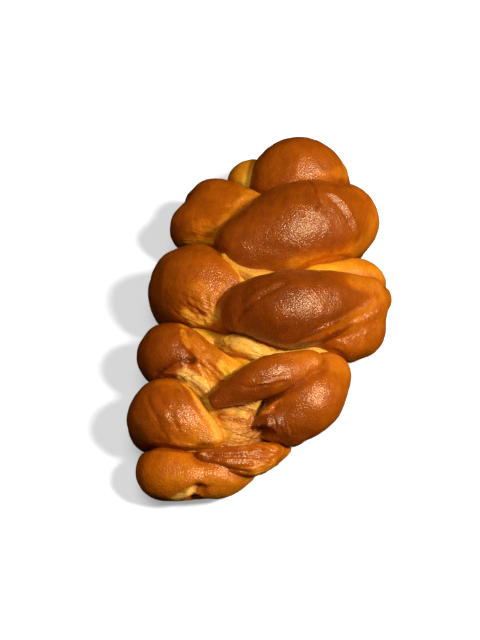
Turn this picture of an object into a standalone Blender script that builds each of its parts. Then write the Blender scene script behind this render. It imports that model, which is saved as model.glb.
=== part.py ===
"""A three-strand braided loaf, baked, whole and uncut, as one closed solid. Metres, +Z up.

The three strands cross over one another from the head of the loaf (+X) to its tail (-X). Each crossing leaves a
plump lobe on the left (+Y) or the right (-Y) of the loaf, and the lobes have grown together in the oven. A lobe is
a chain of balls strung on a smooth line from its outer end, over its crown, to its inner end, where the next lobe
covers it. A voxel remesh fuses all the chains to one skin, and the tray cuts the underside flat.
"""

import bpy
import bmesh
import numpy as np
from mathutils import Matrix

MM = 0.001

# Driving dimensions, in millimetres.
SKIN_VOXEL = 2.2  # cell of the remesh that fuses the lobes
BALL_STEP = 3.0  # distance between the balls of a chain
BALL_SUBDIVISIONS = 3
SKIN_SMOOTHING = 4  # passes that take the voxel steps out of the skin
TRAY_DEPTH = 60.0  # thickness of the block that cuts the underside
TRAY_SPAN = 400.0
FLAT_TOLERANCE = 0.3  # a point this near the tray lies on it
FACE_BUDGET = 9000  # triangles of the finished solid

# A plump lobe tucks under to its foot on the tray: the same line, lower, thinner and nearer the loaf's middle.
FOOT_GIRTH = 0.84  # girth of the foot, as a share of the lobe's
FOOT_HEIGHT = 0.55  # height of the foot's line, in foot girths
FOOT_ALONG = 0.95  # distance of the foot from the loaf's middle along it, as a share of the lobe's
FOOT_ACROSS = 0.87  # the same across it
FOOT_LEAST_GIRTH = 14.0  # a lobe with a thinner crown has no foot of its own

# Each lobe has three stations: its outer end, its crown and its inner end. A station is (along the loaf, across
# it, height of the line, girth), and the girth is the radius of the dough round the line there.
LOBES = {
    "left_1": ((107, 37, 22, 16), (105, 31, 29, 19), (101, 18, 31, 16)),
    "right_1": ((117, -11, 26, 21), (107, 2, 36, 32), (99, 9, 38, 26)),
    "left_2_head": ((83, 60, 24, 15), (79, 51, 34, 16), (70, 19, 44, 12)),
    "left_2": ((60, 65, 20, 13), (59, 57, 30, 19), (48, 25, 42, 13)),
    "right_2": ((86, -30, 30, 27), (59, -8, 46, 32), (35, 19, 46, 23)),
    "left_3": ((6, 52, 24, 26), (4, 43, 36, 29), (-7, 17, 38, 20)),
    "right_3_root": ((45, -60, 18, 11), (38, -52, 28, 18), (22, -31, 38, 18)),
    "right_3": ((31, -61, 38, 9), (-6, -23, 52, 24), (-13, 7, 50, 19)),
    "right_3_fold": ((34, -66, 25, 11), (12, -54, 34, 15), (-18, -25, 40, 4)),
    "right_3_flank": ((11, -58, 20, 19), (-1, -46, 25, 19), (-18, -28, 32, 6)),
    "left_4": ((-42, 53, 18, 17), (-46, 45, 32, 20), (-55, 7, 36, 11)),
    "right_4": ((-40, -36, 42, 12), (-57, -17, 50, 12), (-76, 10, 43, 7)),
    "right_4_flank": ((-32, -46, 23, 17), (-54, -39, 28, 22), (-71, -26, 27, 12)),
    "right_4_tear": ((-74, -35, 22, 9), (-77, -23, 34, 6), (-83, -12, 28, 5)),
    "right_4_stub": ((-78, -28, 20, 5), (-80, -22, 23, 5), (-78, -15, 22, 5)),
    "left_5": ((-87, 43, 20, 20), (-88, 35, 32, 22), (-96, 7, 32, 8)),
    "right_5": ((-80, -32, 12, 5), (-102, -16, 26, 10), (-110, 9, 31, 7)),
    "right_5_flank": ((-83, -29, 12, 6), (-97, -17, 16, 9), (-110, -5, 20, 7)),
    "left_6": ((-116, 31, 14, 15), (-118, 30, 19, 17), (-119, 16, 23, 12)),
    "tail": ((-117, 13, 22, 12), (-110, 0, 20, 15), (-101, -13, 15, 10)),
}

# What shows of the strands between the lobes, where they pass under.
UNDER_STRANDS = {
    "under_2": ((19, 31, 54, 5), (14, 20, 51, 6), (16, 2, 43, 10)),
    "under_3": ((-31, 20, 31, 6), (-34, 6, 40, 9), (-38, -19, 40, 6)),
    "under_4": ((-56, 38, 30, 8), (-64, 25, 34, 10), (-71, 9, 32, 8)),
    "under_5": ((-66, 24, 28, 11), (-79, -1, 28, 12), (-74, -14, 22, 10)),
    "under_5_low": ((-84, 14, 24, 10), (-91, -1, 25, 9), (-87, -12, 20, 7)),
}

# The dough that fills the middle of the loaf, below the lobes.
HEART = {
    "heart_left": ((-98, 20, 12, 18), (0, 32, 13, 26), (104, 20, 13, 22)),
    "heart_middle": ((-96, 4, 12, 18), (8, -4, 22, 27), (100, 8, 12, 26)),
    "heart_right": ((-86, -4, 12, 14), (-10, -31, 13, 26), (98, -6, 13, 24)),
}


def strand_line(stations, step=BALL_STEP):
    """Points and girths along the smooth curve through the stations, about one step apart."""
    given = np.array(stations, float)
    ends = np.vstack([2 * given[0] - given[1], given, 2 * given[-1] - given[-2]])
    spans = len(given) - 1
    length = np.linalg.norm(np.diff(given[:, :3], axis=0), axis=1).sum()
    places = np.linspace(0, spans, max(7, int(length / step) + 1))
    first = np.minimum(places.astype(int), spans - 1)
    t = (places - first)[:, None]
    before, here, there, after = (ends[first + k] for k in range(4))
    return here + 0.5 * t * (
        there - before
        + t * (2 * before - 5 * here + 4 * there - after + t * (3 * (here - there) + after - before))
    )


def foot_of(stations):
    """The stations of the foot on which a lobe rests."""
    foot = []
    for along, across, _, girth in stations[:2]:
        under = girth * FOOT_GIRTH
        foot.append((along * FOOT_ALONG, across * FOOT_ACROSS, under * FOOT_HEIGHT, under))
    return foot


def unit_ball():
    """Corners and triangles of a round ball of radius 1."""
    ball = bmesh.new()
    bmesh.ops.create_icosphere(ball, subdivisions=BALL_SUBDIVISIONS, radius=1.0)
    ball.verts.index_update()
    corners = np.array([v.co for v in ball.verts])
    faces = np.array([[v.index for v in f.verts] for f in ball.faces])
    ball.free()
    return corners, faces


def strung_balls(chains):
    """One mesh of all the balls of all the chains."""
    corners, faces = unit_ball()
    points, triangles = [], []
    for station in np.vstack(chains):
        triangles.append(faces + len(points) * len(corners))
        points.append((corners * station[3] + station[:3]) * MM)
    mesh = bpy.data.meshes.new("dough")
    mesh.from_pydata(np.vstack(points), [], np.vstack(triangles))
    return mesh


def tray_block():
    """The block below the loaf that cuts its underside flat."""
    mesh = bpy.data.meshes.new("tray")
    block = bmesh.new()
    centre = Matrix.Translation((0, 0, -TRAY_DEPTH / 2 * MM))
    size = Matrix.Diagonal((TRAY_SPAN * MM, TRAY_SPAN * MM, TRAY_DEPTH * MM, 1))
    bmesh.ops.create_cube(block, size=1.0, matrix=centre @ size)
    block.to_mesh(mesh)
    block.free()
    tray = bpy.data.objects.new("tray", mesh)
    bpy.context.scene.collection.objects.link(tray)
    tray.hide_render = True
    tray.display_type = "WIRE"
    return tray


def apply_modifiers(obj):
    """Replaces the object's mesh by its evaluated one."""
    evaluated = obj.evaluated_get(bpy.context.evaluated_depsgraph_get())
    finished = bpy.data.meshes.new_from_object(evaluated)
    obj.modifiers.clear()
    obj.data = finished


def fuse(loaf):
    """Grows the balls together into one skin and smooths it."""
    skin = loaf.modifiers.new("skin", "REMESH")
    skin.mode = "VOXEL"
    skin.voxel_size = SKIN_VOXEL * MM
    smooth = loaf.modifiers.new("smooth", "SMOOTH")
    smooth.factor = 0.5
    smooth.iterations = SKIN_SMOOTHING
    apply_modifiers(loaf)


def rest_on_tray(loaf):
    """Cuts the underside flat, where the loaf stood on its tray."""
    tray = tray_block()
    cut = loaf.modifiers.new("underside", "BOOLEAN")
    cut.operation = "DIFFERENCE"
    cut.object = tray
    apply_modifiers(loaf)
    bpy.data.objects.remove(tray)


def thin_out(loaf):
    """Collapses the skin to the face budget, in triangles, with the underside kept flat."""
    loaf.data.calc_loop_triangles()
    fewer = loaf.modifiers.new("fewer", "DECIMATE")
    fewer.ratio = FACE_BUDGET / len(loaf.data.loop_triangles)
    fewer.use_collapse_triangulate = True
    apply_modifiers(loaf)
    for vertex in loaf.data.vertices:
        if vertex.co.z < FLAT_TOLERANCE * MM:
            vertex.co.z = 0.0


def centre_on_origin(loaf):
    """Moves the skin so that the origin is below the middle of its box, at tray height."""
    corners = np.array([v.co for v in loaf.data.vertices])
    middle = (corners.min(axis=0) + corners.max(axis=0)) / 2
    loaf.data.transform(Matrix.Translation((-middle[0], -middle[1], -corners[:, 2].min())))


def crust_material():
    """Egg-washed golden brown crust."""
    material = bpy.data.materials.new("golden_crust")
    material.use_nodes = True
    shader = material.node_tree.nodes["Principled BSDF"]
    shader.inputs["Base Color"].default_value = (0.40, 0.13, 0.02, 1.0)
    shader.inputs["Roughness"].default_value = 0.38
    shader.inputs["Metallic"].default_value = 0.0
    return material


def build_loaf():
    lobes = list(LOBES.values())
    feet = [foot_of(stations) for stations in lobes if stations[1][3] >= FOOT_LEAST_GIRTH]
    all_stations = lobes + feet + list(UNDER_STRANDS.values()) + list(HEART.values())
    mesh = strung_balls([strand_line(stations) for stations in all_stations])
    loaf = bpy.data.objects.new("braided_loaf", mesh)
    bpy.context.scene.collection.objects.link(loaf)
    fuse(loaf)
    rest_on_tray(loaf)
    thin_out(loaf)
    centre_on_origin(loaf)
    loaf.data.materials.clear()
    loaf.data.materials.append(crust_material())
    loaf.data.shade_smooth()
    return loaf


for old in list(bpy.data.objects):
    bpy.data.objects.remove(old)
build_loaf()
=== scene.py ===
"""Looks of the braided loaf: its skin with creases, folds and wrinkles, and its egg-washed crust."""

import math

import bmesh
import bpy
import numpy as np
from mathutils import Matrix, Vector


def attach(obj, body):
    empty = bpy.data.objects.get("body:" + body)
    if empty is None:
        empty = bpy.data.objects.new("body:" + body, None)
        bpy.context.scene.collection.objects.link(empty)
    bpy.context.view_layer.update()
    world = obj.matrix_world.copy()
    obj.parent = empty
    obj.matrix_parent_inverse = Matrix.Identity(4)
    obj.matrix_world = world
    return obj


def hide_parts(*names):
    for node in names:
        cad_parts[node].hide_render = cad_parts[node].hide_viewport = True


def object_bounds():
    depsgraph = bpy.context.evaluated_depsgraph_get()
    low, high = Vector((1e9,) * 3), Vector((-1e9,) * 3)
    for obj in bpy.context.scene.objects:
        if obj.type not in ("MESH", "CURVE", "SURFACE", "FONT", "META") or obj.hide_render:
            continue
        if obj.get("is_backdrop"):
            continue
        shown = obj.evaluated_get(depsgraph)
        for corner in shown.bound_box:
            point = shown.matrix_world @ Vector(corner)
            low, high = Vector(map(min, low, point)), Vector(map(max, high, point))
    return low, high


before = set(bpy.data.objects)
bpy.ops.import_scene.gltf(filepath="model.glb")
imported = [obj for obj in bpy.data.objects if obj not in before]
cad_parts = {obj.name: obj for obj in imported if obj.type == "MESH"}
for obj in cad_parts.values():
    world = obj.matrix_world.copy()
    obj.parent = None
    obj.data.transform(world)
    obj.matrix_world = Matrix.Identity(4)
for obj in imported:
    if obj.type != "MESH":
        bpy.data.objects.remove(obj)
cad_low, cad_high = (np.array(corner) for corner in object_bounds())

# The loaf is laid out in millimetres, as in its source, and fitted to the frame's box at the end. Along the loaf
# towards its head is +X, its left is +Y, and the tray is at height 0.
SKIN_CELL = 1.5  # spacing of the skin's points on a plain lobe
BALL_STEP = 1.5
BALL_SUBDIVISIONS = 4
CREASE_DEPTH = 1.3  # how far the skin turns in where two strands meet
CREASE_WIDTH = 2.2
TRAY_SPAN = 400.0
TRAY_DEPTH = 60.0
FAR = 60.0

# A plump lobe tucks under to its foot on the tray: the same line, lower, thinner and nearer the loaf's middle.
FOOT_GIRTH = 0.84
FOOT_HEIGHT = 0.55
FOOT_ALONG = 0.95
FOOT_ACROSS = 0.87
FOOT_LEAST_GIRTH = 14.0

# (along, across, height, girth) of each lobe's outer end, crown and inner end.
LOBES = {
    "left_1": ((107, 37, 22, 16), (105, 31, 29, 19), (101, 18, 31, 16)),
    "right_1": ((117, -11, 26, 21), (107, 2, 36, 32), (99, 9, 38, 26)),
    "left_2_head": ((83, 60, 24, 15), (79, 51, 34, 16), (70, 19, 44, 12)),
    "left_2": ((60, 65, 20, 13), (59, 57, 30, 19), (48, 25, 42, 13)),
    "right_2": ((86, -30, 30, 27), (59, -8, 46, 32), (35, 19, 46, 23)),
    "left_3": ((6, 52, 24, 26), (4, 43, 36, 29), (-7, 17, 38, 20)),
    "right_3_root": ((45, -60, 18, 11), (38, -52, 28, 18), (22, -31, 38, 18)),
    "right_3": ((31, -61, 38, 9), (-6, -23, 52, 24), (-13, 7, 50, 19)),
    "right_3_fold": ((34, -66, 25, 11), (12, -54, 34, 15), (-18, -25, 40, 4)),
    "right_3_flank": ((11, -58, 20, 19), (-1, -46, 25, 19), (-18, -28, 32, 6)),
    "left_4": ((-42, 53, 18, 17), (-46, 45, 32, 20), (-55, 7, 36, 11)),
    "right_4": ((-40, -36, 42, 12), (-57, -17, 50, 12), (-76, 10, 43, 7)),
    "right_4_flank": ((-32, -46, 23, 17), (-54, -39, 28, 22), (-71, -26, 27, 12)),
    "right_4_tear": ((-74, -35, 22, 9), (-77, -23, 34, 6), (-83, -12, 28, 5)),
    "right_4_stub": ((-78, -28, 20, 5), (-80, -22, 23, 5), (-78, -15, 22, 5)),
    "left_5": ((-87, 43, 20, 20), (-88, 35, 32, 22), (-96, 7, 32, 8)),
    "right_5": ((-80, -32, 12, 5), (-102, -16, 26, 10), (-110, 9, 31, 7)),
    "right_5_flank": ((-83, -29, 12, 6), (-97, -17, 16, 9), (-110, -5, 20, 7)),
    "left_6": ((-116, 31, 14, 15), (-118, 30, 19, 17), (-119, 16, 23, 12)),
    "tail": ((-117, 13, 22, 12), (-110, 0, 20, 15), (-101, -13, 15, 10)),
    "under_2": ((19, 31, 54, 5), (14, 20, 51, 6), (16, 2, 43, 10)),
    "under_3": ((-31, 20, 31, 6), (-34, 6, 40, 9), (-38, -19, 40, 6)),
    "under_4": ((-56, 38, 30, 8), (-64, 25, 34, 10), (-71, 9, 32, 8)),
    "under_5": ((-66, 24, 28, 11), (-79, -1, 28, 12), (-74, -14, 22, 10)),
    "under_5_low": ((-84, 14, 24, 10), (-91, -1, 25, 9), (-87, -12, 20, 7)),
    "heart_left": ((-98, 20, 12, 18), (0, 32, 13, 26), (104, 20, 13, 22)),
    "heart_middle": ((-96, 4, 12, 18), (8, -4, 22, 27), (100, 8, 12, 26)),
    "heart_right": ((-86, -4, 12, 14), (-10, -31, 13, 26), (98, -6, 13, 24)),
}

# Lobes that belong to one strand, which melt together softly.
STRANDS = {
    "left_2_head": "left_2",
    "right_3_fold": "right_3",
    "right_3_flank": "right_3",
    "right_4_tear": "right_4_flank",
    "right_4_stub": "right_4_flank",
    "under_5_low": "under_5",
    "left_6": "tail",
    "right_5_flank": "right_5",
    "under_4": "left_4",
    "heart_middle": "heart_left",
    "heart_right": "heart_left",
}
KINSHIP = 3.0  # rounding where two lobes of one strand meet
CLOSE_KINSHIP = {"left_4": 1.2, "right_5": 1.2, "right_3": 2.2, "right_4_flank": 2.0}

# Spacing of the skin's points on the cracked, folded, torn and wrinkled strands.
CELLS = {
    "left_1": 1.8,
    "right_1": 1.7,
    "right_2": 1.2,
    "left_3": 1.2,
    "right_3": 1.25,
    "left_4": 0.9,
    "right_4": 1.15,
    "right_4_flank": 0.95,
    "left_5": 1.3,
    "right_5": 0.85,
    "tail": 1.15,
    "under_3": 0.9,
    "under_5": 0.9,
    "heart_left": 1.8,
}

FLANK_BAKE = 0.38  # how much more the middle dough bakes where it shows low on the loaf's sides
UNDER_CREAM = 0.2  # how creamy the stretched dough between the lobes is

# How far each lobe is baked at its outer end, crown and inner end: 0 is yellow dough, 1 the darkest crust.
BAKES = {
    "left_1": (0.34, 0.22, 0.08),
    "right_1": (0.62, 0.68, 0.72),
    "left_2_head": (0.7, 0.62, 0.42),
    "left_2": (0.76, 0.68, 0.5),
    "right_2": (0.62, 0.84, 0.85),
    "left_3": (0.74, 0.72, 0.6),
    "right_3_root": (0.35, 0.28, 0.1),
    "right_3": (0.6, 0.88, 0.95),
    "right_3_fold": (0.52, 0.58, 0.62),
    "right_3_flank": (0.6, 0.6, 0.62),
    "left_4": (0.85, 0.8, 0.15),
    "right_4": (0.5, 0.8, 0.98),
    "right_4_flank": (0.5, 0.65, 0.85),
    "right_4_tear": (0.9, 0.98, 0.9),
    "right_4_stub": (0.5, 0.45, 0.5),
    "left_5": (0.76, 0.76, 0.22),
    "right_5": (0.5, 0.62, 0.75),
    "right_5_flank": (0.5, 0.5, 0.5),
    "left_6": (0.66, 0.57, 0.46),
    "tail": (0.5, 0.38, 0.36),
    "under_2": (0.08, 0.08, 0.08),
    "under_3": (0.02, 0.12, 0.08),
    "under_4": (0.14, 0.12, 0.05),
    "under_5": (0.1, 0.3, 0.45),
    "under_5_low": (0.12, 0.25, 0.42),
    "heart_left": (0.05, 0.05, 0.05),
    "heart_middle": (0.05, 0.05, 0.05),
    "heart_right": (0.05, 0.05, 0.05),
}


# ---------------------------------------------------------------- shape of the dough


def strand_line(stations):
    """Points and girths along the smooth curve through the stations, about one ball step apart."""
    given = np.array(stations, float)
    ends = np.vstack([2 * given[0] - given[1], given, 2 * given[-1] - given[-2]])
    spans = len(given) - 1
    length = np.linalg.norm(np.diff(given[:, :3], axis=0), axis=1).sum()
    places = np.linspace(0, spans, max(9, int(length / BALL_STEP) + 1))
    first = np.minimum(places.astype(int), spans - 1)
    t = (places - first)[:, None]
    before, here, there, after = (ends[first + k] for k in range(4))
    return here + 0.5 * t * (
        there - before
        + t * (2 * before - 5 * here + 4 * there - after + t * (3 * (here - there) + after - before))
    )


def foot_of(stations):
    """The stations of the foot on which a plump lobe rests."""
    foot = []
    for along, across, _, girth in stations[:2]:
        under = girth * FOOT_GIRTH
        foot.append((along * FOOT_ALONG, across * FOOT_ACROSS, under * FOOT_HEIGHT, under))
    return foot


def all_chains():
    """(strand name, lobe name, line) of every chain of dough."""
    chains = []
    for name, stations in LOBES.items():
        strand = STRANDS.get(name, name)
        chains.append((strand, name, strand_line(stations)))
        if stations[1][3] >= FOOT_LEAST_GIRTH and not name.startswith("heart"):
            chains.append((strand, name, strand_line(foot_of(stations))))
    return chains


CHAINS = all_chains()
STRAND_NAMES = list(dict.fromkeys(strand for strand, _, _ in CHAINS))


def chain_distance(points, line):
    """Distance from each point to the skin of one chain, and FAR where it is nowhere near."""
    centres, girths = line[:, :3].astype(np.float32), line[:, 3].astype(np.float32)
    low = (centres - girths[:, None]).min(axis=0) - 8
    high = (centres + girths[:, None]).max(axis=0) + 8
    near = np.nonzero(np.all((points > low) & (points < high), axis=1))[0]
    distance = np.full(len(points), FAR, np.float32)
    span = np.diff(centres, axis=0)
    length = np.maximum((span * span).sum(axis=1), 1e-6)
    swell = np.diff(girths)
    for some in np.array_split(near, len(near) // 20000 + 1):
        arm = points[some, None, :] - centres[None, :-1]
        t = np.clip((arm * span).sum(axis=2) / length, 0, 1)
        apart = np.linalg.norm(arm - t[:, :, None] * span, axis=2) - girths[:-1] - t * swell
        distance[some] = apart.min(axis=1)
    return distance


def soft_min(distances, rounding):
    """Smallest distance of each row, with the meeting of two rounded over."""
    least = distances.min(axis=1)
    return least - rounding * np.log(np.exp(-(distances - least[:, None]) / rounding).sum(axis=1))


def strand_distance(points, strand):
    """Distance from each point to one strand."""
    chains = [chain_distance(points, line) for of, _, line in CHAINS if of == strand]
    return chains[0] if len(chains) == 1 else soft_min(np.stack(chains, axis=1), CLOSE_KINSHIP.get(strand, KINSHIP))


def other_distance(points, strand):
    """Distance from each point to the nearest of the other strands, negative inside it."""
    points = points.astype(np.float32)
    return np.min([strand_distance(points, other) for other in STRAND_NAMES if other != strand], axis=0)


def onto_strand(points, strand, rounds=2, reach=0.3):
    """Moves points to the skin of one strand, and gives its outward direction there."""
    for _ in range(rounds):
        here = strand_distance(points.astype(np.float32), strand)
        steps = [strand_distance((points + reach * axis).astype(np.float32), strand) - here for axis in np.eye(3)]
        uphill = np.stack(steps, axis=1) / reach
        steep = np.maximum(np.linalg.norm(uphill, axis=1), 0.3)[:, None]
        points = points - np.clip(here, -3, 3)[:, None] * uphill / steep**2
    return points, uphill / steep


def waves(places, pitch, seed, count=16):
    """A smooth uneven field, from about -1 to 1, whose swells are about one pitch apart."""
    chance = np.random.default_rng(seed)
    total = np.zeros(len(places))
    for _ in range(count):
        way = chance.normal(size=3)
        way *= 2 * math.pi / (pitch * chance.uniform(0.7, 1.5) * np.linalg.norm(way))
        total += np.sin(places @ way + chance.uniform(0, 2 * math.pi))
    return total / math.sqrt(count)


def smooth_step(value, start, end):
    t = np.clip((value - start) / (end - start), 0, 1)
    return t * t * (3 - 2 * t)


# ---------------------------------------------------------------- skins


def unit_ball():
    """Corners and triangles of a round ball of radius 1."""
    ball = bmesh.new()
    bmesh.ops.create_icosphere(ball, subdivisions=BALL_SUBDIVISIONS, radius=1.0)
    ball.verts.index_update()
    corners = np.array([v.co for v in ball.verts])
    faces = np.array([[v.index for v in f.verts] for f in ball.faces])
    ball.free()
    return corners, faces


def linked(name, mesh):
    made = bpy.data.objects.new(name, mesh)
    bpy.context.scene.collection.objects.link(made)
    return made


def evaluated_mesh(made):
    return bpy.data.meshes.new_from_object(made.evaluated_get(bpy.context.evaluated_depsgraph_get()))


def voxel_skin(lines, cell):
    """The voxel skin round the balls of the lines, in millimetres."""
    corners, faces = unit_ball()
    points, triangles = [], []
    for line in lines:
        for station in line[::2]:
            triangles.append(faces + len(points) * len(corners))
            points.append(corners * station[3] + station[:3])
    mesh = bpy.data.meshes.new("balls")
    mesh.from_pydata(np.vstack(points), [], np.vstack(triangles))
    balls = linked("balls", mesh)
    skin = balls.modifiers.new("skin", "REMESH")
    skin.mode = "VOXEL"
    skin.voxel_size = cell
    fused = evaluated_mesh(balls)
    bpy.data.objects.remove(balls)
    return fused


def points_of(mesh):
    flat = np.zeros(len(mesh.vertices) * 3, np.float32)
    mesh.vertices.foreach_get("co", flat)
    return flat.reshape(-1, 3).astype(float)


def quads_of(mesh):
    """The corners of a skin whose faces are all quads."""
    corners = np.zeros(len(mesh.loops), np.int32)
    mesh.loops.foreach_get("vertex_index", corners)
    return corners.reshape(-1, 4)


def smoothed(points, quads, rounds):
    """Evens out the points of a skin a little."""
    a = quads.T.ravel()
    b = np.roll(quads, -1, axis=1).T.ravel()
    count = np.bincount(a, minlength=len(points)) + np.bincount(b, minlength=len(points))
    for _ in range(rounds):
        mean = [
            np.bincount(a, points[b, axis], len(points)) + np.bincount(b, points[a, axis], len(points))
            for axis in range(3)
        ]
        points = 0.5 * points + 0.5 * np.stack(mean, axis=1) / np.maximum(count, 1)[:, None]
    return points


# ---------------------------------------------------------------- folds, wrinkles and hollows

# Lines on the skin: kind, strand, depth and width in millimetres, and the line's points. A lip stands proud on the
# left of its line and drops away on the right.
FOLDS = (
    ("groove", "right_1", 0.35, 1.6, ((108, 6, 69), (98, 5, 69), (88, 5, 64))),
    ("crack", "right_2", 2.2, 0.9, ((84, -7, 71), (78, -11, 74), (72, -15, 75), (67, -16, 76), (62, -20, 75), (57, -19, 75), (52, -19, 75))),
    ("ridge", "right_2", 1.2, 1.2, ((69, -19, 75), (73, -26, 72), (73, -32, 69), (69, -38, 65), (64, -47, 54))),
    ("groove", "right_2", 1.3, 1.1, ((68, -23, 74), (69, -30, 71), (65, -36, 66), (61, -43, 58), (59, -47, 54))),
    ("groove", "right_2", 0.4, 1.0, ((60, 1, 78), (55, 3, 78), (47, 3, 77))),
    ("lip", "left_2", 0.7, 1.6, ((62, 47, 49), (66, 37, 52), (72, 29, 54), (73, 22, 54))),
    ("groove", "left_2", 0.5, 1.2, ((57, 44, 50), (60, 35, 52), (66, 27, 53))),
    ("groove", "left_2", 0.7, 1.2, ((45, 55, 46), (45, 48, 48), (44, 41, 49))),
    ("lip", "left_2", 0.7, 1.4, ((39, 41, 43), (40, 48, 42), (41, 55, 41))),
    ("groove", "right_3", 1.1, 1.0, ((-4, -17, 77), (-8, -14, 77), (-13, -8, 76), (-18, -2, 74), (-24, 5, 68), (-32, 12, 60))),
    ("ridge", "right_3", 0.6, 1.5, ((-3, -12, 78), (-10, -6, 77), (-16, 2, 74), (-22, 9, 67))),
    ("groove", "right_3", 1.0, 0.9, ((-25, 8, 67), (-29, 10, 64), (-34, 10, 58))),
    ("lip", "right_3", 1.0, 1.4, ((32, -68, 40), (10, -60, 48), (-5, -52, 55), (-18, -42, 59), (-28, -31, 58), (-31, -24, 50))),
    ("lip", "right_3", 0.9, 1.5, ((22, -72, 35), (6, -63, 43), (-7, -52, 48), (-16, -45, 51), (-26, -32, 48))),
    ("groove", "right_3", 0.5, 1.4, ((0, -66, 38), (-10, -56, 41), (-20, -44, 42))),
    ("groove", "left_3", 1.1, 1.3, ((-15, 44, 60), (-17, 42, 57), (-22, 36, 51), (-26, 30, 42))),
    ("ridge", "left_3", 0.8, 1.6, ((-13, 38, 60), (-19, 33, 55), (-24, 29, 48))),
    ("groove", "left_3", 1.0, 1.2, ((-12, 34, 60), (-16, 33, 58), (-21, 30, 53), (-24, 27, 47))),
    ("groove", "left_3", 0.9, 1.1, ((-11, 25, 57), (-14, 25, 56), (-18, 26, 53), (-22, 26, 48))),
    ("groove", "left_3", 0.8, 1.4, ((-24, 54, 47), (-28, 46, 45), (-28, 38, 42))),
    ("lip", "left_4", 1.3, 1.4, ((-46, 43, 51), (-49, 38, 51), (-52, 33, 50), (-55, 28, 49), (-58, 28, 47))),
    ("lip", "left_4", 1.8, 1.4, ((-55, 28, 49), (-58, 32, 47), (-58, 37, 48), (-60, 41, 47), (-63, 46, 42), (-66, 52, 33))),
    ("lip", "left_4", 1.5, 1.3, ((-73, 12, 42), (-66, 18, 44), (-62, 22, 45), (-59, 25, 47), (-56, 27, 49))),
    ("groove", "left_4", 1.0, 1.1, ((-36, 42, 49), (-43, 41, 51), (-48, 37, 51), (-52, 30, 50))),
    ("ridge", "left_4", 0.8, 1.5, ((-50, 27, 50), (-54, 20, 49), (-58, 13, 48))),
    ("groove", "left_4", 0.9, 1.1, ((-53, 24, 49), (-58, 17, 48), (-63, 10, 46))),
    ("ridge", "left_4", 0.9, 1.6, ((-70, 24, 42), (-68, 18, 43), (-66, 12, 44))),
    ("ridge", "left_5", 1.0, 2.2, ((-75, 38, 50), (-81, 30, 52), (-88, 22, 51), (-95, 13, 46), (-100, 4, 37))),
    ("groove", "left_5", 0.8, 1.4, ((-76, 34, 49), (-85, 25, 51), (-92, 15, 46), (-98, 4, 38))),
    ("groove", "left_5", 0.6, 1.3, ((-84, 52, 49), (-92, 47, 50), (-101, 39, 49), (-108, 31, 40))),
    ("groove", "left_5", 0.6, 1.3, ((-82, 47, 52), (-91, 39, 53), (-99, 30, 50), (-106, 22, 40))),
    ("groove", "right_4", 0.9, 1.0, ((-74, -2, 56), (-72, -12, 59), (-69, -20, 60), (-62, -31, 57))),
    ("groove", "right_4", 0.8, 1.0, ((-69, -6, 62), (-66, -15, 63), (-64, -24, 62), (-58, -31, 60))),
    ("ridge", "right_4", 0.7, 1.3, ((-73, -8, 58), (-69, -17, 61), (-63, -28, 59))),
    ("lip", "right_4_flank", 2.0, 1.2, ((-84, -13, 31), (-84, -16, 35), (-83, -20, 38), (-83, -24, 37), (-83, -27, 34), (-84, -29, 29))),
    ("lip", "right_4_flank", 1.4, 1.4, ((-78, -10, 40), (-74, -17, 49), (-70, -23, 53), (-63, -32, 53))),
    ("groove", "right_5", 1.3, 1.2, ((-106, 12, 41), (-104, -2, 42), (-99, -15, 40), (-90, -28, 29))),
    ("ridge", "right_5", 0.8, 1.3, ((-108, 8, 42), (-106, -4, 42), (-101, -17, 39), (-93, -29, 29))),
    ("groove", "right_5", 1.1, 1.2, ((-111, 9, 38), (-109, -4, 40), (-104, -18, 36), (-98, -28, 28))),
    ("ridge", "right_5", 0.7, 1.2, ((-113, 8, 36), (-112, -5, 36), (-107, -18, 33))),
    ("groove", "right_5", 0.9, 1.1, ((-115, 4, 34), (-114, -8, 33), (-109, -19, 29))),
    ("groove", "tail", 1.2, 1.6, ((-134, 19, 23), (-131, 13, 27), (-127, 6, 28), (-124, -2, 28))),
)

# Wrinkled places: strand, the ends of the place's middle line, its reach, the way the wrinkles run, the distance
# between them, their depth and a seed.
WRINKLES = (
    ("left_3", (-20, 42, 52), (-26, 26, 46), 12, (-0.55, -0.8, -0.2), 4.5, 0.7, 21),
    ("under_3", (-30, 24, 40), (-42, -16, 44), 16, (0.15, 0.95, -0.1), 5.0, 0.9, 22),
    ("heart_left", (-36, 26, 36), (-42, 0, 40), 18, (0.6, 0.8, 0.0), 5.0, 0.8, 23),
    ("left_4", (-48, 32, 50), (-57, 8, 47), 13, (0.5, 0.8, 0.0), 4.5, 0.9, 24),
    ("left_4", (-63, 40, 42), (-70, 16, 41), 10, (0.45, -0.9, 0.0), 3.6, 0.5, 25),
    ("under_5", (-76, 20, 36), (-82, -20, 36), 22, (0.15, -1.0, 0.0), 3.4, 0.9, 26),
    ("right_5", (-106, 12, 38), (-94, -32, 24), 18, (-0.35, 0.88, 0.3), 3.6, 0.7, 27),
    ("right_4_flank", (-80, -12, 36), (-82, -34, 34), 9, (0.75, 0.3, 0.5), 4.0, 0.6, 28),
    ("right_4", (-70, -8, 58), (-62, -28, 58), 9, (0.3, -0.95, 0.0), 4.0, 0.5, 29),
    ("right_3", (10, -64, 36), (-16, -48, 38), 14, (0.85, 0.5, 0.0), 5.0, 0.4, 30),
    ("left_2", (64, 36, 52), (70, 26, 54), 9, (0.6, -0.8, 0.0), 3.6, 0.5, 31),
    ("left_5", (-88, 36, 52), (-104, 28, 44), 12, (-0.75, -0.65, 0.0), 5.0, 0.4, 32),
    ("tail", (-112, 6, 32), (-104, -12, 24), 12, (0.4, -0.9, 0.0), 4.5, 0.5, 33),
)

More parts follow.
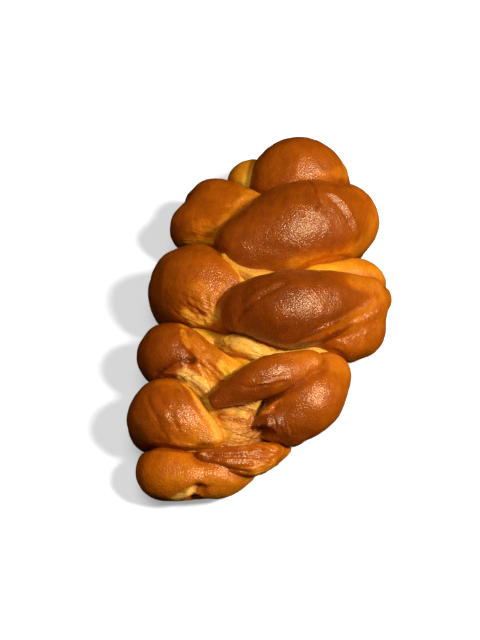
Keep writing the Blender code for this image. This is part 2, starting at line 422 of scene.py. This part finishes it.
# Hollows: strand, centre, reach and depth.
HOLLOWS = (
    ("tail", (-129, 8, 27), 7, 3.5),
    ("left_4", (-57, 32, 47), 5, 3.0),
    ("right_4_flank", (-86, -21, 30), 8, 4.5),
    ("right_2", (92, -36, 59), 3, -0.5),
    ("tail", (-133, 9, 17), 7, 3.5),
)


def beside(points, outward, line, reach):
    """The points within reach of a line on the skin: which, how far to its right, and how much it has tapered."""
    line = np.array(line, float)
    near = np.nonzero(np.all((points > line.min(axis=0) - reach) & (points < line.max(axis=0) + reach), axis=1))[0]
    arm = points[near, None, :] - line[None, :-1]
    span = np.diff(line, axis=0)
    length = np.linalg.norm(span, axis=1)
    t = np.clip((arm * span).sum(axis=2) / length**2, 0, 1)
    off = arm - t[:, :, None] * span
    nearest = np.linalg.norm(off, axis=2).argmin(axis=1)
    rows = np.arange(len(near))
    off, upright = off[rows, nearest], outward[near]
    off = off - (off * upright).sum(axis=1)[:, None] * upright
    right = np.cross(span[nearest] / length[nearest][:, None], upright)
    side = np.linalg.norm(off, axis=1) * np.where((off * right).sum(axis=1) > 0, 1, -1)
    along = (np.concatenate([[0], np.cumsum(length)])[nearest] + t[rows, nearest] * length[nearest]) / length.sum()
    return near, side, smooth_step(np.minimum(along, 1 - along), 0, 0.2)


def share_within(points, start, end, reach):
    """1 on the line from start to end, falling smoothly to 0 at reach from it."""
    start, end = np.array(start, float), np.array(end, float)
    span = end - start
    t = np.clip((points - start) @ span / max(span @ span, 1e-6), 0, 1)
    away = np.linalg.norm(points - start - t[:, None] * span, axis=1)
    return 1 - smooth_step(away, 0.35 * reach, reach)


def relief(points, outward, strand):
    """How far folds, wrinkles and hollows lift or sink each point of a strand, in millimetres."""
    rise = np.zeros(len(points))
    for kind, of, depth, width, line in FOLDS:
        if of != strand:
            continue
        near, side, taper = beside(points, outward, line, 5 * width + 3)
        if kind == "lip":
            shape = -np.tanh(side / (0.5 * width)) * np.exp(-np.abs(side) / (2.5 * width))
        elif kind == "crack":
            shape = 0.3 * np.exp(-((side / (3 * width)) ** 2)) - np.exp(-np.abs(side / width))
        else:
            shape = np.exp(-((side / width) ** 2)) * (1 if kind == "ridge" else -1)
        rise[near] += depth * taper * shape
    for of, start, end, reach, way, pitch, depth, seed in WRINKLES:
        if of != strand:
            continue
        way = np.array(way) / np.linalg.norm(way)
        squeezed = points - 0.85 * (points @ way)[:, None] * way
        crumple = np.abs(waves(squeezed, pitch, seed)) - 0.6
        rise += depth * crumple * share_within(points, start, end, reach)
    for of, centre, reach, depth in HOLLOWS:
        if of == strand:
            rise -= depth * share_within(points, centre, centre, reach)
    return rise


# Places baked more or less than their lobe: strand, bake, how creamy the dough is, how streaky, the place's reach
# and the points of its middle line.
TINTS = (
    ("left_1", 0.0, 0.15, 0.5, 9, ((84, 34, 40), (92, 33, 46), (100, 31, 51), (106, 26, 52))),
    # The right_1 lobe's crust darkens along its left edge: partly its own browning, partly painted shade.
    ("right_1", 0.84, 0.0, 0.0, 9, ((82, 22, 48), (90, 28, 48), (100, 33, 48))),
    ("right_1", 0.42, 0.0, 0.1, 6, ((86, 2, 58), (91, -5, 59), (97, -13, 58), (106, -21, 54), (118, -28, 44))),
    ("right_1", 0.34, 0.0, 0.1, 7, ((119, -28, 44), (124, -24, 46), (130, -16, 44))),
    ("left_2", 0.3, 0.0, 0.3, 7, ((84, 22, 52), (76, 28, 54))),
    ("left_2", 0.36, 0.0, 0.4, 6, ((73, 28, 54), (66, 33, 52), (56, 37, 52), (47, 40, 50), (40, 42, 46))),
    ("left_2", 0.3, 0.0, 0.9, 5, ((41, 62, 34), (40, 54, 38), (39, 46, 42))),
    ("left_2", 0.36, 0.0, 0.9, 3, ((45, 52, 47), (45, 48, 48), (44, 43, 49))),
    ("left_2", 0.42, 0.0, 0.6, 8, ((48, 62, 34), (50, 58, 40), (48, 52, 44))),
    ("right_2", 0.6, 0.0, 0.0, 8, ((20, 20, 50), (22, 6, 52), (26, -8, 53))),
    ("right_2", 0.36, 0.0, 0.0, 12, ((28, -17, 52), (37, -28, 46), (45, -36, 42), (53, -44, 40), (68, -51, 35))),
    ("right_2", 0.42, 0.0, 0.0, 12, ((68, -51, 35), (82, -56, 38), (96, -50, 38), (104, -40, 38))),
    ("left_3", 0.5, 0.0, 0.2, 6, ((15, 28, 58), (8, 20, 56), (0, 14, 54))),
    ("left_3", 0.42, 0.0, 0.7, 9, ((-12, 38, 59), (-18, 32, 55), (-16, 24, 58), (-8, 20, 62))),
    ("left_3", 0.12, 0.1, 0.9, 6, ((-12, 18, 62), (-18, 18, 60), (-24, 20, 54), (-27, 20, 48))),
    ("left_3", 0.12, 0.1, 0.9, 6, ((-22, 44, 47), (-26, 37, 43), (-25, 30, 46), (-21, 25, 51))),
    ("right_3", 0.44, 0.0, 0.0, 9, ((20, -52, 57), (27, -62, 48), (30, -70, 38))),
    ("right_3", 0.6, 0.0, 0.0, 6, ((-32, -6, 46), (-33, -14, 46), (-33, -22, 49))),
    ("right_3", 0.42, 0.0, 0.0, 5, ((28, -70, 38), (8, -62, 45), (-6, -52, 51), (-17, -43, 54), (-26, -33, 52))),
    # the skin of the fourth lobe tore and shows yellow and creamy dough inside
    ("left_4", 0.42, 0.0, 0.8, 8, ((-44, 32, 50), (-50, 24, 50), (-56, 14, 48), (-64, 8, 46))),
    ("left_4", 0.02, 0.0, 0.9, 5, ((-28, 49, 38), (-33, 45, 43), (-36, 40, 44), (-40, 31, 43), (-45, 21, 42), (-49, 12, 41))),
    ("left_4", 0.3, 0.0, 0.9, 2.5, ((-37, 42, 49), (-44, 39, 51), (-49, 35, 51))),
    ("left_4", 0.06, 0.0, 0.9, 5, ((-55, 12, 48), (-60, 6, 46), (-66, 4, 46))),
    ("left_4", 0.2, 0.0, 0.9, 3, ((-60, 22, 46), (-66, 14, 45), (-72, 10, 44))),
    ("left_4", 0.9, 0.0, 0.1, 5, ((-58, 38, 48), (-61, 44, 45), (-64, 52, 38))),
    ("left_4", 0.1, 0.8, 0.9, 5, ((-65, 34, 44), (-66, 29, 44), (-69, 23, 43), (-72, 17, 42))),
    ("left_4", 0.02, 0.1, 1.0, 4, ((-67, 36, 39), (-70, 28, 39), (-74, 18, 38))),
    ("left_4", 0.98, 0.0, 0.2, 3, ((-56, 37, 47), (-57, 32, 47), (-56, 27, 47))),
    ("left_3", 0.06, 0.0, 0.6, 3, ((16, 30, 56), (11, 21, 55), (5, 15, 54), (0, 12, 53))),
    ("under_3", 0.08, 0.5, 0.9, 8, ((-34, 6, 50), (-38, -8, 50), (-44, -16, 46))),
    ("under_3", 0.0, 0.0, 0.9, 6, ((-40, 22, 40), (-46, 8, 42), (-50, -4, 42))),
    ("under_5", 0.0, 0.1, 0.9, 5, ((-72, 22, 36), (-80, 14, 38), (-88, 9, 38), (-92, 2, 34))),
    ("under_5", 0.12, 0.5, 0.9, 3, ((-78, 4, 40), (-79, -3, 40), (-79, -8, 38))),
    ("under_5", 0.6, 0.0, 0.9, 2.5, ((-83, 6, 38), (-84, -2, 38), (-83, -9, 36))),
    ("right_4", 0.5, 0.0, 0.0, 10, ((-42, -24, 58), (-36, -34, 52), (-38, -42, 48))),
    ("right_4_flank", 0.45, 0.0, 0.0, 8, ((-34, -50, 44), (-30, -58, 34))),
    ("right_4_flank", 0.3, 0.0, 0.6, 6, ((-79, -11, 34), (-75, -15, 41), (-70, -23, 46))),
    ("right_4_flank", 0.98, 0.0, 0.1, 5, ((-81, -16, 37), (-80, -21, 40), (-80, -26, 39), (-83, -31, 34), (-84, -33, 28))),
    ("right_4_flank", 0.36, 0.15, 0.7, 4, ((-86, -17, 29), (-86, -22, 29), (-86, -27, 27))),
    ("right_4_flank", 0.06, 0.1, 0.7, 3, ((-73, -12, 39), (-70, -18, 43), (-66, -25, 47), (-61, -32, 51))),
    ("left_5", 0.18, 0.0, 0.7, 3.2, ((-73, 32, 45), (-81, 22, 48), (-87, 14, 46), (-92, 7, 41), (-97, 0, 36))),
    ("left_5", 0.36, 0.0, 0.5, 6, ((-97, 12, 43), (-103, 8, 40))),
    ("left_5", 0.55, 0.0, 0.2, 5, ((-76, 46, 48), (-74, 40, 48), (-78, 34, 49))),
    ("left_5", 0.3, 0.0, 0.9, 4, ((-106, 30, 38), (-107, 22, 36), (-108, 14, 34))),
    ("right_5", 0.35, 0.0, 0.6, 3, ((-103, 4, 41), (-100, -8, 40), (-94, -22, 35), (-86, -32, 24))),
    ("right_5", 0.32, 0.0, 0.6, 6, ((-107, -20, 28), (-100, -30, 22))),
    ("tail", 0.6, 0.0, 0.4, 5, ((-129, 10, 26), (-127, 3, 27))),
    ("tail", 0.05, 0.6, 0.5, 4, ((-134, 19, 20), (-132, 15, 24), (-129, 12, 26))),
    ("tail", 0.42, 0.0, 0.2, 10, ((-116, 0, 33), (-116, -10, 26))),
)
RAGGED = 0.1  # how uneven the edge of a baked place is, as a share of its reach


def away_from(points, line):
    """Distance from each point to the nearest stretch of a line."""
    line = np.array(line, float)
    span = np.diff(line, axis=0)
    arm = points[:, None, :] - line[None, :-1]
    t = np.clip((arm * span).sum(axis=2) / (span * span).sum(axis=1), 0, 1)
    return np.linalg.norm(arm - t[:, :, None] * span, axis=2).min(axis=1)


def tinted(points, strand, bake, cream, streaky):
    """Bake, cream and streakiness with the strand's own tints laid over them."""
    uneven = waves(points, 9, 41) + 0.6 * waves(points, 3.5, 42)
    for of, baked, creamy, streaked, reach, line in TINTS:
        if of == strand:
            share = 1 - smooth_step(away_from(points, line) / reach + RAGGED * uneven, 0.35, 1.1)
            bake = bake + (baked - bake) * share
            cream = cream + (creamy - cream) * share
            streaky = streaky + (streaked - streaky) * share
    return bake, cream, streaky


def painted_fold_shade(points, outward, strand):
    """How deep in a fold each point lies, from 0 to 1, which darkens the crust there as painted shade."""
    shade = np.zeros(len(points))
    for kind, of, depth, width, line in FOLDS:
        if of != strand or kind == "ridge" or depth < 0.9:
            continue
        near, side, taper = beside(points, outward, line, 5 * width + 3)
        middle = 0.6 * width if kind == "lip" else 0.0
        deep = min(depth, 1.5) / 1.5 * np.exp(-(((side - middle) / (0.8 * width)) ** 2)) * taper
        shade[near] = np.maximum(shade[near], deep)
    return shade




def solid(name, points, faces, owner):
    """A closed skin whose faces remember the number of their strand."""
    mesh = bpy.data.meshes.new(name)
    mesh.from_pydata(points, [], faces)
    numbers = mesh.attributes.new("strand", "INT", "FACE")
    numbers.data.foreach_set("value", np.full(len(mesh.polygons), owner, np.int32))
    return linked(name, mesh)


def strand_solid(strand):
    """One strand's whole skin, turned in where it meets its neighbours, with its folds and wrinkles."""
    cell = CELLS.get(strand, SKIN_CELL)
    mesh = voxel_skin([line for of, _, line in CHAINS if of == strand], cell)
    points, quads = points_of(mesh), quads_of(mesh)
    points, outward = onto_strand(points, strand)
    points = smoothed(points, quads, 3)
    crease = np.exp(-((np.maximum(other_distance(points, strand), 0) / CREASE_WIDTH) ** 2))
    rise = 0.6 * waves(points, 42, 1) + 0.22 * waves(points, 15, 2) + 0.07 * waves(points, 6, 3)
    rise += relief(points, outward, strand)
    points += outward * (rise - CREASE_DEPTH * crease)[:, None]
    return solid(strand, points, quads, STRAND_NAMES.index(strand))


def tray_block():
    """The block below the loaf that cuts its underside flat."""
    block = bmesh.new()
    centre = Matrix.Translation((0, 0, -TRAY_DEPTH / 2))
    bmesh.ops.create_cube(block, size=1.0, matrix=centre @ Matrix.Diagonal((TRAY_SPAN, TRAY_SPAN, TRAY_DEPTH, 1)))
    corners = [tuple(v.co) for v in block.verts]
    faces = [[v.index for v in f.verts] for f in block.faces]
    block.free()
    return solid("tray", corners, faces, -1)


def whole_loaf():
    """One closed skin round all the strands, flat below: a mesh in millimetres."""
    strands = [strand_solid(strand) for strand in STRAND_NAMES]
    tray = tray_block()
    whole = strands[0]
    for other in [*strands[1:], tray]:
        melt = whole.modifiers.new(other.name, "BOOLEAN")
        melt.operation = "DIFFERENCE" if other == tray else "UNION"
        melt.solver = "MANIFOLD"
        melt.object = other
    fused = evaluated_mesh(whole)
    for used in [*strands, tray]:
        bpy.data.objects.remove(used)
    return fused


# ---------------------------------------------------------------- the loaf

mesh = whole_loaf()
mesh.name = "loaf"
points = points_of(mesh)
points[:, 2] = np.maximum(points[:, 2], 0.0)
low, high = points.min(axis=0), points.max(axis=0)
fitted = cad_low + (points - low) / (high - low) * (cad_high - cad_low)
mesh.vertices.foreach_set("co", fitted.astype(np.float32).ravel())
mesh.update()
loaf = linked("loaf", mesh)

corner_point = np.zeros(len(mesh.loops), np.int32)
mesh.loops.foreach_get("vertex_index", corner_point)
corner_edge = np.zeros(len(mesh.loops), np.int32)
mesh.loops.foreach_get("edge_index", corner_edge)
face_strand = np.zeros(len(mesh.polygons), np.int32)
mesh.attributes["strand"].data.foreach_get("value", face_strand)
face_size = np.zeros(len(mesh.polygons), np.int32)
mesh.polygons.foreach_get("loop_total", face_size)
corner_strand = np.repeat(face_strand, face_size)
point_outward = np.zeros(len(points) * 3, np.float32)
mesh.vertices.foreach_get("normal", point_outward)
point_outward = point_outward.reshape(-1, 3).astype(float)


def keep_creases_sharp():
    """Marks the edges between two strands, and round the flat underside, as sharp."""
    least, most = np.full(len(mesh.edges), 9999), np.full(len(mesh.edges), -9999)
    np.minimum.at(least, corner_edge, corner_strand)
    np.maximum.at(most, corner_edge, corner_strand)
    mesh.shade_smooth()
    sharp = mesh.attributes.new("sharp_edge", "BOOLEAN", "EDGE")
    sharp.data.foreach_set("value", least != most)


keep_creases_sharp()
print("SKIN", len(points), int((face_size - 2).sum()), {n: int((face_size[face_strand == i] - 2).sum()) for i, n in enumerate(STRAND_NAMES)})


# ---------------------------------------------------------------- how the crust is baked, and the painted shade in its creases and folds

FOOT_PALENESS = 0.18  # how much paler the crust is at the tray
FOOT_PALE_HEIGHT = 18.0


def lobe_places(points, strand):
    """Along and round the strand in millimetres, place along the lobe from 0 to 1, and the lobe's number."""
    grain = np.zeros((len(points), 3))
    place = np.zeros(len(points))
    lobe = np.zeros(len(points), int)
    nearest = np.full(len(points), FAR)
    names = list(LOBES)
    for of, name, line in CHAINS:
        if of != strand:
            continue
        centres, girths = line[:, :3], line[:, 3]
        apart = np.linalg.norm(points[:, None] - centres[None], axis=2) - girths[None]
        ball = apart.argmin(axis=1)
        own = np.nonzero(apart.min(axis=1) < nearest)[0]
        nearest[own] = apart.min(axis=1)[own]
        ball = ball[own]
        ahead = np.gradient(centres, axis=0)
        ahead /= np.maximum(np.linalg.norm(ahead, axis=1)[:, None], 1e-6)
        length = np.concatenate([[0], np.cumsum(np.linalg.norm(np.diff(centres, axis=0), axis=1))])
        aside = np.cross(ahead, (0, 0, 1.0))
        aside /= np.maximum(np.linalg.norm(aside, axis=1)[:, None], 1e-6)
        over = np.cross(aside, ahead)
        arm = points[own] - centres[ball]
        forward = (arm * ahead[ball]).sum(axis=1)
        angle = np.arctan2((arm * aside[ball]).sum(axis=1), (arm * over[ball]).sum(axis=1))
        grain[own, 0] = length[ball] + forward
        grain[own, 1] = angle * girths.max() * 0.8
        grain[own, 2] = names.index(name) * 37.0
        place[own] = np.clip((length[ball] + forward) / max(length[-1], 1e-6), 0, 1)
        lobe[own] = names.index(name)
    return grain, place, lobe


def bake_along(place, lobe):
    """The bake between a lobe's outer end, crown and inner end."""
    stations = np.array([BAKES[name] for name in LOBES])[lobe]
    spot = place * 2
    outer = stations[:, 0] * (1 - spot) + stations[:, 1] * spot
    inner = stations[:, 1] * (2 - spot) + stations[:, 2] * (spot - 1)
    return np.where(spot < 1, outer, inner)


columns = {name: np.zeros(len(mesh.loops)) for name in ("bake", "cream", "crease", "streaky")}
columns["grain"] = np.zeros((len(mesh.loops), 3))
for number, strand in enumerate(STRAND_NAMES):
    corners = np.nonzero(corner_strand == number)[0]
    used, back = np.unique(corner_point[corners], return_inverse=True)
    if not len(used):
        continue
    places = points[used]
    grain, place, lobe = lobe_places(places, strand)
    bake = bake_along(place, lobe) + 0.035 * waves(places, 18, 11) + 0.02 * waves(places, 6, 12)
    bake -= FOOT_PALENESS * (1 - smooth_step(places[:, 2], 2, FOOT_PALE_HEIGHT))
    if strand.startswith("heart"):
        bake += FLANK_BAKE * (1 - smooth_step(places[:, 2], 14, 34))
    cream = np.full(len(used), UNDER_CREAM if strand.startswith("under") else 0.0)
    streaky = np.full(len(used), 1.0 if strand.startswith("under") else 0.0)
    bake, cream, streaky = tinted(places, strand, bake, cream, streaky)
    # Painted shade: the crust is darkened near the creases between strands and deep in folds; the crease attribute
    # carries it.
    near = np.exp(-((np.maximum(other_distance(places, strand), 0) / CREASE_WIDTH) ** 2))
    near = np.maximum(near, painted_fold_shade(places, point_outward[used], strand))
    for name, values in (("bake", bake), ("cream", cream), ("crease", near), ("streaky", streaky), ("grain", grain)):
        columns[name][corners] = values[back]

for name, values in columns.items():
    kind = "FLOAT" if values.ndim == 1 else "FLOAT_VECTOR"
    layer = mesh.attributes.new(name, kind, "CORNER")
    layer.data.foreach_set("value" if values.ndim == 1 else "vector", values.astype(np.float32).ravel())


# ---------------------------------------------------------------- crust

CRUST_TONES = (
    (0.0, (0.92, 0.46, 0.018)),
    (0.2, (0.82, 0.27, 0.006)),
    (0.4, (0.58, 0.140, 0.002)),
    (0.6, (0.42, 0.082, 0.001)),
    (0.8, (0.29, 0.050, 0.001)),
    (1.0, (0.17, 0.027, 0.001)),
)
CREAM = (0.92, 0.50, 0.11, 1)
# Painted shade: the colour the crust is multiplied by in its creases and folds.
PAINTED_CREASE_SHADE = (0.8, 0.7, 0.62, 1)
HIGHLIGHT_TINT = (1.0, 0.72, 0.40, 1)


def effect(name, inputs, outputs):
    """A new node group with named sockets: its tree, its input node and its output node."""
    tree = bpy.data.node_groups.new(name, "ShaderNodeTree")
    for socket, kind in inputs:
        tree.interface.new_socket(socket, in_out="INPUT", socket_type=kind)
    for socket, kind in outputs:
        tree.interface.new_socket(socket, in_out="OUTPUT", socket_type=kind)
    return tree, tree.nodes.new("NodeGroupInput"), tree.nodes.new("NodeGroupOutput")


def node(tree, kind, **settings):
    made = tree.nodes.new(kind)
    for key, value in settings.items():
        if key in made.inputs:
            made.inputs[key].default_value = value
        else:
            setattr(made, key, value)
    return made


def oven_colour():
    """Colour of the crust by how far it is baked, mottled, with creamy torn dough and painted shade in its creases
    and folds.
    """
    tree, given, result = effect(
        "oven_colour",
        (
            ("Bake", "NodeSocketFloat"),
            ("Cream", "NodeSocketFloat"),
            ("Painted Crease Shade", "NodeSocketFloat"),
            ("Place", "NodeSocketVector"),
        ),
        (("Colour", "NodeSocketColor"),),
    )
    link = tree.links.new
    mottle = node(tree, "ShaderNodeTexNoise", Scale=300.0, Detail=5.0, Roughness=0.9)
    link(given.outputs["Place"], mottle.inputs["Vector"])
    spread = node(tree, "ShaderNodeMapRange", clamp=False)
    spread.inputs["From Min"].default_value = 0.0
    spread.inputs["From Max"].default_value = 1.0
    spread.inputs["To Min"].default_value = -0.23
    spread.inputs["To Max"].default_value = 0.23
    link(mottle.outputs["Fac"], spread.inputs["Value"])
    shifted = node(tree, "ShaderNodeMath", operation="ADD")
    link(given.outputs["Bake"], shifted.inputs[0])
    link(spread.outputs["Result"], shifted.inputs[1])
    ramp = node(tree, "ShaderNodeValToRGB")
    for _ in range(len(CRUST_TONES) - 2):
        ramp.color_ramp.elements.new(0.5)
    for element, (position, colour) in zip(ramp.color_ramp.elements, CRUST_TONES):
        element.position = position
        element.color = (*colour, 1)
    link(shifted.outputs[0], ramp.inputs["Fac"])
    creamy = node(tree, "ShaderNodeMix", data_type="RGBA")
    creamy.inputs["B"].default_value = CREAM
    link(given.outputs["Cream"], creamy.inputs["Factor"])
    link(ramp.outputs["Color"], creamy.inputs["A"])
    # painted shade in the creases and folds
    shaded = node(tree, "ShaderNodeMix", data_type="RGBA", blend_type="MULTIPLY")
    shaded.inputs["B"].default_value = PAINTED_CREASE_SHADE
    link(given.outputs["Painted Crease Shade"], shaded.inputs["Factor"])
    link(creamy.outputs["Result"], shaded.inputs["A"])
    link(shaded.outputs["Result"], result.inputs["Colour"])
    return tree


def pebbled_skin():
    """Height of the fine pebbled glaze on the crust."""
    tree, given, result = effect(
        "pebbled_skin",
        (("Place", "NodeSocketVector"), ("Fineness", "NodeSocketFloat")),
        (("Height", "NodeSocketFloat"),),
    )
    pebbles = node(tree, "ShaderNodeTexNoise", Detail=2.0, Roughness=0.6)
    tree.links.new(given.outputs["Place"], pebbles.inputs["Vector"])
    tree.links.new(given.outputs["Fineness"], pebbles.inputs["Scale"])
    tree.links.new(pebbles.outputs["Fac"], result.inputs["Height"])
    return tree


def stretched_dough():
    """Height of the fine streaks that run along a strand where its dough was stretched."""
    tree, given, result = effect(
        "stretched_dough",
        (("Grain", "NodeSocketVector"), ("Amount", "NodeSocketFloat")),
        (("Height", "NodeSocketFloat"),),
    )
    link = tree.links.new
    longer = node(tree, "ShaderNodeVectorMath", operation="MULTIPLY")
    longer.inputs[1].default_value = (0.07, 0.9, 1.0)
    link(given.outputs["Grain"], longer.inputs[0])
    streaks = node(tree, "ShaderNodeTexNoise", Scale=1.0, Detail=3.0, Roughness=0.6)
    link(longer.outputs[0], streaks.inputs["Vector"])
    amount = node(tree, "ShaderNodeMath", operation="MULTIPLY")
    link(streaks.outputs["Fac"], amount.inputs[0])
    link(given.outputs["Amount"], amount.inputs[1])
    link(amount.outputs[0], result.inputs["Height"])
    return tree


def baked_crust():
    """Egg-washed crust: yellow dough to dark brown, glossy and pebbled, streaky where it was stretched."""
    material = bpy.data.materials.new("baked_crust")
    material.use_nodes = True
    tree = material.node_tree
    shader = tree.nodes["Principled BSDF"]
    link = tree.links.new
    read = {}
    for name in ("bake", "cream", "crease", "streaky", "grain"):
        read[name] = node(tree, "ShaderNodeAttribute", attribute_name=name)
    place = node(tree, "ShaderNodeTexCoord")
    colour = node(tree, "ShaderNodeGroup", node_tree=oven_colour())
    for socket, name in (("Bake", "bake"), ("Cream", "cream"), ("Painted Crease Shade", "crease")):
        link(read[name].outputs["Fac"], colour.inputs[socket])
    link(place.outputs["Object"], colour.inputs["Place"])
    link(colour.outputs["Colour"], shader.inputs["Base Color"])
    pebbles = node(tree, "ShaderNodeGroup", node_tree=pebbled_skin())
    pebbles.inputs["Fineness"].default_value = 900.0
    link(place.outputs["Object"], pebbles.inputs["Place"])
    streaks = node(tree, "ShaderNodeGroup", node_tree=stretched_dough())
    link(read["grain"].outputs["Vector"], streaks.inputs["Grain"])
    link(read["streaky"].outputs["Fac"], streaks.inputs["Amount"])
    height = node(tree, "ShaderNodeMath", operation="MULTIPLY_ADD")
    height.inputs[1].default_value = 3.0
    link(streaks.outputs["Height"], height.inputs[0])
    link(pebbles.outputs["Height"], height.inputs[2])
    bump = node(tree, "ShaderNodeBump", Strength=0.85, Distance=0.0006)
    link(height.outputs[0], bump.inputs["Height"])
    link(bump.outputs["Normal"], shader.inputs["Normal"])
    rough = node(tree, "ShaderNodeMapRange")
    rough.inputs["From Min"].default_value = 0.1
    rough.inputs["From Max"].default_value = 0.6
    rough.inputs["To Min"].default_value = 0.42
    rough.inputs["To Max"].default_value = 0.28
    link(read["bake"].outputs["Fac"], rough.inputs["Value"])
    link(rough.outputs["Result"], shader.inputs["Roughness"])
    shader.inputs["Specular Tint"].default_value = HIGHLIGHT_TINT
    shader.inputs["Specular IOR Level"].default_value = 1.1
    return material


mesh.materials.clear()
mesh.materials.append(baked_crust())
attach(loaf, "root")
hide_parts("braided_loaf")


# ---------------------------------------------------------------- floor, light and camera

AIM = Vector((-0.0139, 0.0117, 0.035))
CAMERA_AZIMUTH = math.radians(-165.5)
CAMERA_ELEVATION = math.radians(55)
CAMERA_DISTANCE = 0.75
LENS = 67.5
SENSOR = 36
KEY_RIGHT = math.radians(35)  # from the camera's side
KEY_ABOVE = math.radians(15)
KEY_POWER = 27
KEY_SIZE = 0.3
KEY_DISTANCE = 1.6
TOP_POWER = 7
TOP_SIZE = 0.9
TOP_DISTANCE = 1.2
SIDE_POWER = 6
SIDE_SIZE = 0.8
SIDE_DISTANCE = 1.3
FILL = 0.04
FLOOR_SPAN = 6
PAPER_GLOW = 0.3  # keeps the shadows on the paper light


def direction(azimuth, elevation):
    level = math.cos(elevation)
    return Vector((math.cos(azimuth) * level, math.sin(azimuth) * level, math.sin(elevation)))


def floor():
    bpy.ops.mesh.primitive_plane_add(size=FLOOR_SPAN)
    plane = bpy.context.object
    plane.name = "floor"
    pale = bpy.data.materials.new("pale_floor")
    pale.use_nodes = True
    paper = pale.node_tree.nodes["Principled BSDF"]
    paper.inputs["Base Color"].default_value = (0.86, 0.86, 0.86, 1)
    paper.inputs["Roughness"].default_value = 0.9
    paper.inputs["Emission Color"].default_value = (1, 1, 1, 1)
    paper.inputs["Emission Strength"].default_value = PAPER_GLOW
    plane.data.materials.append(pale)
    plane.visible_glossy = False
    plane.visible_diffuse = False
    plane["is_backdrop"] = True


def camera():
    lens = bpy.data.cameras.new("camera")
    lens.lens = LENS
    lens.sensor_width = SENSOR
    made = bpy.data.objects.new("camera", lens)
    bpy.context.scene.collection.objects.link(made)
    back = direction(CAMERA_AZIMUTH, CAMERA_ELEVATION)
    made.location = AIM + back * CAMERA_DISTANCE
    made.rotation_euler = back.to_track_quat("Z", "Y").to_euler()
    bpy.context.scene.camera = made
    return made


def area_light(name, towards, distance, size, power):
    light = bpy.data.lights.new(name, "AREA")
    light.shape = "DISK"
    light.size = size
    light.energy = power
    lamp = bpy.data.objects.new(name, light)
    bpy.context.scene.collection.objects.link(lamp)
    lamp.location = AIM + towards.normalized() * distance
    lamp.rotation_euler = towards.to_track_quat("Z", "Y").to_euler()
    return lamp


floor()
eye = camera()
bpy.context.view_layer.update()
turn = eye.matrix_world.to_3x3()
key = turn @ Vector((math.sin(KEY_RIGHT), math.sin(KEY_ABOVE), 0.78))
area_light("key", key, KEY_DISTANCE, KEY_SIZE, KEY_POWER)
soft = area_light("top", Vector((-0.15, 0.15, 1)), TOP_DISTANCE, TOP_SIZE, TOP_POWER)
soft.visible_glossy = False
side = area_light("side", turn @ Vector((1, 0.15, 0.2)), SIDE_DISTANCE, SIDE_SIZE, SIDE_POWER)
side.visible_glossy = False
world = bpy.data.worlds.new("studio")
bpy.context.scene.world = world
world.use_nodes = True
world.cycles_visibility.glossy = False
world.node_tree.nodes["Background"].inputs["Color"].default_value = (1, 1, 1, 1)
world.node_tree.nodes["Background"].inputs["Strength"].default_value = FILL
bpy.context.scene.view_settings.view_transform = "Standard"
